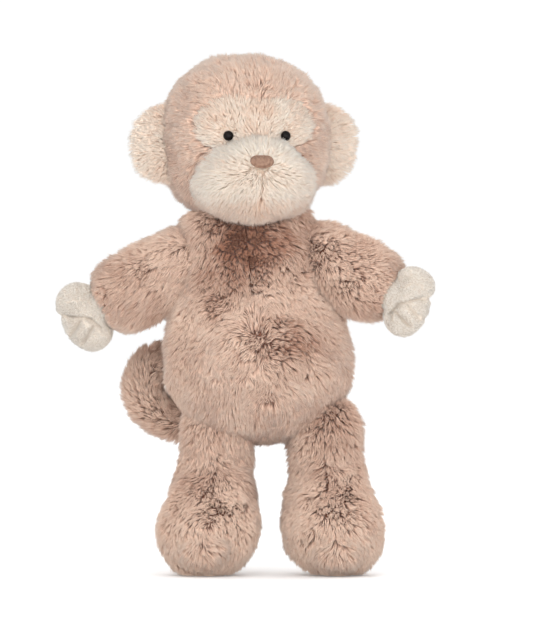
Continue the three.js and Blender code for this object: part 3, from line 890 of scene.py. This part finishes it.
def cover(name, body, surface, mask, materials, slot, node, coat, comb, tone, fill=0.8, **pile):
    """One sewn panel: its cloth, which stands for the CAD panel, and its pile."""
    cloth_material, hair_material = materials
    cloth = build_mesh(name + "_cloth", *shell_of(surface, mask, CLOTH))
    dress(cloth, body, cloth_material)
    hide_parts(node)
    for band in grow(name + "_pile", surface, mask, coat, comb, tone, **pile):
        dress(band, body, hair_material)


ROSE = (FUR_CLOTH, FUR_PILE)
PALE = (CREAM_CLOTH, CREAM_PILE)


def torso_covers():
    centres = torso.centres()
    front = centres[:, 1] < TORSO_SIDE
    panels = {
        "torso_front_left": front & (centres[:, 0] > 0),
        "torso_front_right": front & (centres[:, 0] <= 0),
        "torso_back": ~front,
    }
    top = TORSO_OUTLINE[-1][1] - 8
    for name, mask in panels.items():
        cover(
            name, "torso", torso, mask, ROSE, "fur_plush", name, FUR, torso_comb, torso_tone,
            keep=lambda points: TORSO.into(points)[:, 2] < top,
            ruffle=torso_ruffle,
        )


def head_covers():
    centres = head.centres()
    front = centres[:, 1] < 0
    brow = front & brow_inside(centres) & (centres[:, 2] > -22)
    clear = lambda points: ~muzzle_inside(HEAD.into(points), 0.5)
    cover(
        "head_front", "head", head, front & ~brow, ROSE, "fur_plush", "head_front", FUR, head_comb, head_tone,
        keep=clear, trim=face_trim,
    )
    cover("head_back", "head", head, ~front, ROSE, "fur_plush", "head_back", FUR, head_comb, head_tone)
    cover(
        "brow_patch", "head", head, brow, PALE, "cream_plush", "brow_patch", BROW_COAT, brow_comb, brow_tone,
        keep=clear, trim=face_trim,
    )
    outside = muzzle.centres()
    used = (np.abs(outside / (HEAD_HALF - 4)) ** HEAD_SQUARENESS).sum(axis=1) > 1
    cover(
        "muzzle", "head", muzzle, used, PALE, "cream_plush", "muzzle_cover", CREAM, muzzle_comb, muzzle_tone,
        trim=face_trim,
    )


def ear_covers():
    for word, side in SIDES:
        surface = ears[word]
        front = surface.centres()[:, 1] < 0
        keep = lambda points, side=side: side * HEAD.into(points)[:, 0] > EAR["across"] - 4
        cover(
            f"ear_front_{word}", f"ear_{word}", surface, front, PALE, "cream_plush", f"ear_front_{word}",
            EAR_COAT, ear_comb(side, 0.7), ear_tone(side), keep=keep,
        )
        cover(
            f"ear_back_{word}", f"ear_{word}", surface, ~front, ROSE, "fur_plush", f"ear_back_{word}",
            EAR_COAT, ear_comb(side, 0.3), fur_tone,
            keep=lambda points, keep=keep: keep(points) & (HEAD.into(points)[:, 1] > 0.8),
            trim=lambda points: 0.4 + 0.6 * smooth((HEAD.into(points)[:, 1:2] - 1.5) / 3),
        )


def limb_covers():
    for word, side in SIDES:
        sleeve = sleeves[word]
        whole = np.ones(len(sleeve.faces), bool)
        keep = lambda points, word=word: (ARMS[word].into(points)[:, 2] > -22) & (
            np.linalg.norm(ARMS[word].into(points)[:, :2], axis=1) > 13
        )
        cover(
            f"arm_sleeve_{word}", f"arm_{word}", sleeve, whole, ROSE, "fur_plush", f"arm_sleeve_{word}",
            FUR, sleeve_comb(word), fur_tone, keep=keep,
            trim=lambda points, word=word: 1 - 0.5 * smooth((ARMS[word].into(points)[:, 2:] - 46) / 14),
        )
        leg = legs[word]
        local = leg.centres()
        outer = side * (local[:, 0] - leg_middle(local[:, 2], side)) > 0
        for part, mask in ((f"leg_outer_{word}", outer), (f"leg_inner_{word}", ~outer)):
            cover(
                part, f"leg_{word}", leg, mask, ROSE, "fur_plush", part, FUR, leg_comb(word, side),
                # Lighter towards the feet: painted light, lifting the shade on the feet.
                lambda points: fur_tone(points) + 0.34 * smooth((75 - points[:, 2]) / 60),
                keep=lambda points, word=word: LEGS[word].into(points)[:, 2] < 19,
                ruffle=leg_ruffle(word, side),
            )


def tail_cover():
    whole = np.ones(len(tail.faces), bool)
    cover("tail", "tail", tail, whole, ROSE, "fur_plush", "tail_cover", FUR, tail_comb, fur_tone,
          trim=lambda points: np.full((len(points), 1), 0.95))


torso_covers()
head_covers()
ear_covers()
limb_covers()
tail_cover()

# ---- Hands ----


def ellipsoid(half, at, tilt=0.0):
    points, faces = pillow(half, 2, 18, 28)
    angle = math.radians(tilt)
    sine, cosine = math.sin(angle), math.cos(angle)
    turn = np.array([[cosine, 0, -sine], [0, 1, 0], [sine, 0, cosine]])
    return points @ turn + np.array(at), faces


def joined(parts):
    points, faces, start = [], [], 0
    for part_points, part_faces in parts:
        points.append(part_points)
        faces.append(part_faces + start)
        start += len(part_points)
    return np.vstack(points), np.vstack(faces)


def remeshed(points, faces, voxel, rounds):
    """One closed skin round overlapping bodies, smoothed."""
    rough = build_mesh("rough", points, faces)
    skin = rough.modifiers.new("skin", "REMESH")
    skin.mode = "VOXEL"
    skin.voxel_size = voxel / 1000
    soft = rough.modifiers.new("soft", "SMOOTH")
    soft.factor = 0.5
    soft.iterations = rounds
    rough.modifiers.new("triangles", "TRIANGULATE")
    graph = bpy.context.evaluated_depsgraph_get()
    made = rough.evaluated_get(graph).to_mesh()
    count = len(made.vertices)
    places = np.zeros(count * 3, np.float32)
    made.vertices.foreach_get("co", places)
    corners = np.zeros(len(made.polygons) * 3, np.int32)
    made.polygons.foreach_get("vertices", corners)
    bpy.data.objects.remove(rough)
    return places.reshape(-1, 3) * 1000.0, corners.reshape(-1, 3)


# Creases of a hand in its own frame, upwards and outwards from the wrist, as start and end points.
HAND_CREASES = [
    ((8.4, 27.5), (-2.7, 12)), ((-2.7, 12), (-11.6, 8.5)),
    ((-0.5, 19.5), (-6.2, 29)), ((-8, 12.5), (-14.3, 24)),
]


def to_crease(local):
    """How far each place is from the nearest crease, seen from the front or the back."""
    flat = local[:, [0, 2]]
    nearest = np.full(len(flat), 99.0)
    for start, end in HAND_CREASES:
        start, run = np.array(start, float), np.array(end, float) - np.array(start)
        share = np.clip((flat - start) @ run / (run @ run), 0, 1)[:, None]
        nearest = np.minimum(nearest, np.linalg.norm(flat - start - share * run, axis=1))
    return nearest


def hand(word):
    place = HANDS[word]
    parts = [
        ellipsoid(HAND_PALM["half"], (-3, 0, HAND_PALM["out"])),
        ellipsoid(HAND_LOBE["half"], (HAND_LOBE["up"], 0, HAND_LOBE["out"]), 12),
        ellipsoid((HAND_ROOT,) * 3, (0, 0, 0)),
    ]
    local, faces = remeshed(*joined(parts), 1.1, 6)
    surface = Surface(local, faces, Place((0, 0, 0), (1, 0, 0), (0, 1, 0), (0, 0, 1)))
    facing = np.abs(surface.normals()[:, 1])
    depth = np.exp(-((to_crease(local) / 1.9) ** 2))
    depth = depth * smooth((local[:, 2] - 3) / 6) * smooth((facing - 0.3) * 2)
    surface.points = local - surface.normals() * (3.4 * depth)[:, None]
    surface = Surface(place.out(surface.points), faces, place)
    skin = build_mesh(f"hand_{word}_cloth", surface.points, surface.faces)
    dress(skin, f"hand_{word}", IVORY_CLOTH)
    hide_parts(f"hand_cover_{word}")
    along = place.axes[2]

    def tone(points):
        crease = np.exp(-((to_crease(place.into(points)) / 1.3) ** 2))
        # Darker along the creases: painted shade in the carved grooves.
        return (0.72 + 0.2 * noise(points, 12, 1))[:, 0] - 0.7 * crease

    def trim(points):
        return (1 - 0.6 * np.exp(-((to_crease(place.into(points)) / 1.2) ** 2)))[:, None]

    pile = grow(
        f"hand_{word}_pile", surface, np.ones(len(faces), bool), SHORT,
        lambda points, normals: along + 0 * points, tone,
        keep=lambda points: place.into(points)[:, 2] > -2, trim=trim,
    )
    for band in pile:
        dress(band, f"hand_{word}", IVORY_PILE)


for word, _ in SIDES:
    hand(word)

# ---- Eyes and nose ----


def eye(word, side):
    """A domed bead, with the shank that goes through the face into its washer."""
    spot = eye_spot(side)
    power = HEAD_SQUARENESS - 1
    out = unit(np.sign(spot) * np.abs(spot / HEAD_HALF) ** power / HEAD_HALF)
    radius, base = EYE["radius"], EYE["stand"]
    shank = [(0, -9.5), (1.2, -9.3), (1.3, -4), (1.3, base - 0.6), (2.4, base - 0.5)]
    turns = np.radians(range(0, 81, 16))
    dome = [(radius * math.cos(a), base + 0.2 + radius * 0.95 * math.sin(a)) for a in turns]
    top = (0, base + 0.2 + radius * 0.95)
    points, faces = turned([*shank, (radius * 0.93, base - 0.3), *dome, top], 60, 40)
    side_way = unit(np.cross(UP, out))
    place = Place(HEAD.out(spot), *HEAD.turn_out(np.array([side_way, np.cross(out, side_way), out])))
    bead = build_mesh(f"eye_bead_{word}", place.out(points), faces)
    dress(bead, "head", BEAD)
    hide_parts(f"eye_{word}")


def nose_edge(across):
    """How far the nose reaches up and down at a place across it: flat on top and round below."""
    share = np.clip(np.abs(across) / NOSE_HALF[0], 0, 1)
    return NOSE_HALF[1] * (1 - share**4) ** 0.5 * 0.9, -NOSE_HALF[1] * (1 - share**2.2) ** 0.6


def muzzle_front(across, up):
    """Where the muzzle's skin is, ahead of the head's middle."""
    rise = (up - MUZZLE_CENTRE[2]) / MUZZLE_HALF[2]
    wide = across / (MUZZLE_HALF[0] * (1 - MUZZLE_NARROWING * rise))
    return MUZZLE_CENTRE[1] - MUZZLE_HALF[1] * np.sqrt(np.maximum(0, 1 - rise**2 - wide**2))


def stitch(line, radius, around=7):
    """A closed thread along a line, pointed at its ends."""
    line = smooth_line(line, 13)
    along = unit(np.gradient(line, axis=0))
    side = unit(np.cross(along, [0.1, 1.0, 0.2]))
    third = np.cross(along, side)
    share = np.linspace(0, 1, len(line))
    thick = (radius * np.sqrt(np.sin(np.pi * np.clip(share, 0.04, 0.96))) ** 0.5)[:, None, None]
    turn = np.linspace(0, 2 * math.pi, around, endpoint=False)[None, :, None]
    ring = line[:, None] + thick * (np.cos(turn) * side[:, None] + np.sin(turn) * third[:, None])
    return np.vstack([line[:1], ring.reshape(-1, 3), line[-1:]]), ring_faces(len(line), around)


def nose():
    """Satin stitches side by side, domed as over a low pad, with a stitched outline."""
    stitches = []
    for across in np.linspace(-NOSE_HALF[0] * 0.93, NOSE_HALF[0] * 0.93, 19):
        top, low = nose_edge(across)
        rises = np.linspace(low, top, 5)
        crown = 2.4 * np.sqrt(np.maximum(0, 1 - (across / (NOSE_HALF[0] * 1.05)) ** 2))
        bulge = crown * np.sqrt(np.maximum(0, 1 - (2 * (rises - low) / (top - low) - 1) ** 2))
        lean = 0.25 * np.sin(across * 5)
        stitches.append(stitch([
            (across + lean * i / 4, muzzle_front(across, NOSE_UP + rise) - 1.2 - puff, NOSE_UP + rise)
            for i, (rise, puff) in enumerate(zip(rises, bulge))
        ], 0.62))
    edge = []
    for turn in np.radians(np.linspace(0, 360, 25)[:-1]):
        across = NOSE_HALF[0] * math.cos(turn)
        top, low = nose_edge(across)
        rise = top if math.sin(turn) > 0 else low
        edge.append((across * 1.04, muzzle_front(across, NOSE_UP + rise) - 1.1, NOSE_UP + rise * 1.06))
    for start in range(24):
        run = [edge[(start + step) % 24] for step in (-1, 0, 1)]
        stitches.append(stitch(run, 0.5, 6))
    points, faces = joined(stitches)
    pad = build_mesh("nose_stitches", HEAD.out(points), faces)
    dress(pad, "head", THREAD)
    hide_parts("nose_embroidery")


for word, side in SIDES:
    eye(word, side)
    frame["nodes"][f"eye_washer_{word}"].data.materials.clear()
    frame["nodes"][f"eye_washer_{word}"].data.materials.append(WASHER)
nose()

# ---- Filling ----


def filling(node, body):
    """A lump of loose fibre in place of a plain filling solid."""
    source = frame["nodes"][node].data
    points = np.zeros(len(source.vertices) * 3, np.float32)
    source.vertices.foreach_get("co", points)
    source.calc_loop_triangles()
    faces = np.array([list(t.vertices) for t in source.loop_triangles], int)
    skin, faces = remeshed(points.reshape(-1, 3) * 1000.0, faces, 3.2, 3)
    surface = Surface(skin, faces, TORSO)
    dent = 0.9 * (noise(skin, 11, 0) - 1) + 0.4 * (noise(skin, 5, 1) - 1) - SINK / 0.6
    lump = build_mesh(node + "_wad", skin + surface.normals() * dent * 0.6, faces)
    dress(lump, body, FIBRE)
    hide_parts(node)


for body, nodes in frame["record"]["behaviour"]["bodies"].items():
    for node in nodes:
        if node.endswith("stuffing") or "_stuffing_" in node:
            filling(node, body)

# ---- Floor, light and camera ----


FLOOR_HALF = 6000


def studio():
    corners = np.array([[-1, -1, 0], [1, -1, 0], [1, 1, 0], [-1, 1, 0]]) * FLOOR_HALF
    floor = build_mesh("floor", corners, np.array([[0, 1, 2], [0, 2, 3]]))
    pale = new_material(
        "floor", 0.9, Base_Color=(0.95, 0.95, 0.95, 1), Specular_IOR_Level=0.0,
        Emission_Color=(1, 1, 1, 1), Emission_Strength=0.12,
    )[0]
    floor.data.materials.append(pale)
    world = bpy.data.worlds.new("studio")
    bpy.context.scene.world = world
    world.use_nodes = True
    world.node_tree.nodes["Background"].inputs["Color"].default_value = (1, 1, 1, 1)
    world.node_tree.nodes["Background"].inputs["Strength"].default_value = 1.02
    for name, at, size, power in (
        ("key", (-0.25, -1.35, 1.0), 0.9, 6.5),
        ("fill", (0.9, -1.4, 0.35), 1.1, 6),
        ("low", (-0.1, -1.1, 0.06), 0.8, 5),
        ("rim", (0.3, 1.2, 1.3), 1.0, 4),
    ):
        light = bpy.data.lights.new(name, "AREA")
        light.energy, light.size = power, size
        lamp = bpy.data.objects.new(name, light)
        lamp.location = at
        lamp.rotation_mode = "QUATERNION"
        lamp.rotation_quaternion = (Vector((0, 0, 0.18)) - Vector(at)).to_track_quat("-Z", "Y")
        bpy.context.scene.collection.objects.link(lamp)


VIEW = {"centre": NECK + np.array([14.5, 0, -66.2]), "elevation": 1, "distance": 4000, "height": 450}


def camera():
    data = bpy.data.cameras.new("camera")
    data.lens = 18 * VIEW["distance"] / (VIEW["height"] / 2)
    made = bpy.data.objects.new("camera", data)
    tilt = math.radians(VIEW["elevation"])
    back = Vector((0, -math.cos(tilt), math.sin(tilt)))
    made.location = Vector(VIEW["centre"] / 1000) + back * VIEW["distance"] / 1000
    made.rotation_mode = "QUATERNION"
    made.rotation_quaternion = (-back).to_track_quat("-Z", "Y")
    bpy.context.scene.collection.objects.link(made)
    bpy.context.scene.camera = made


studio()
camera()
bpy.context.scene.view_settings.view_transform = "Standard"
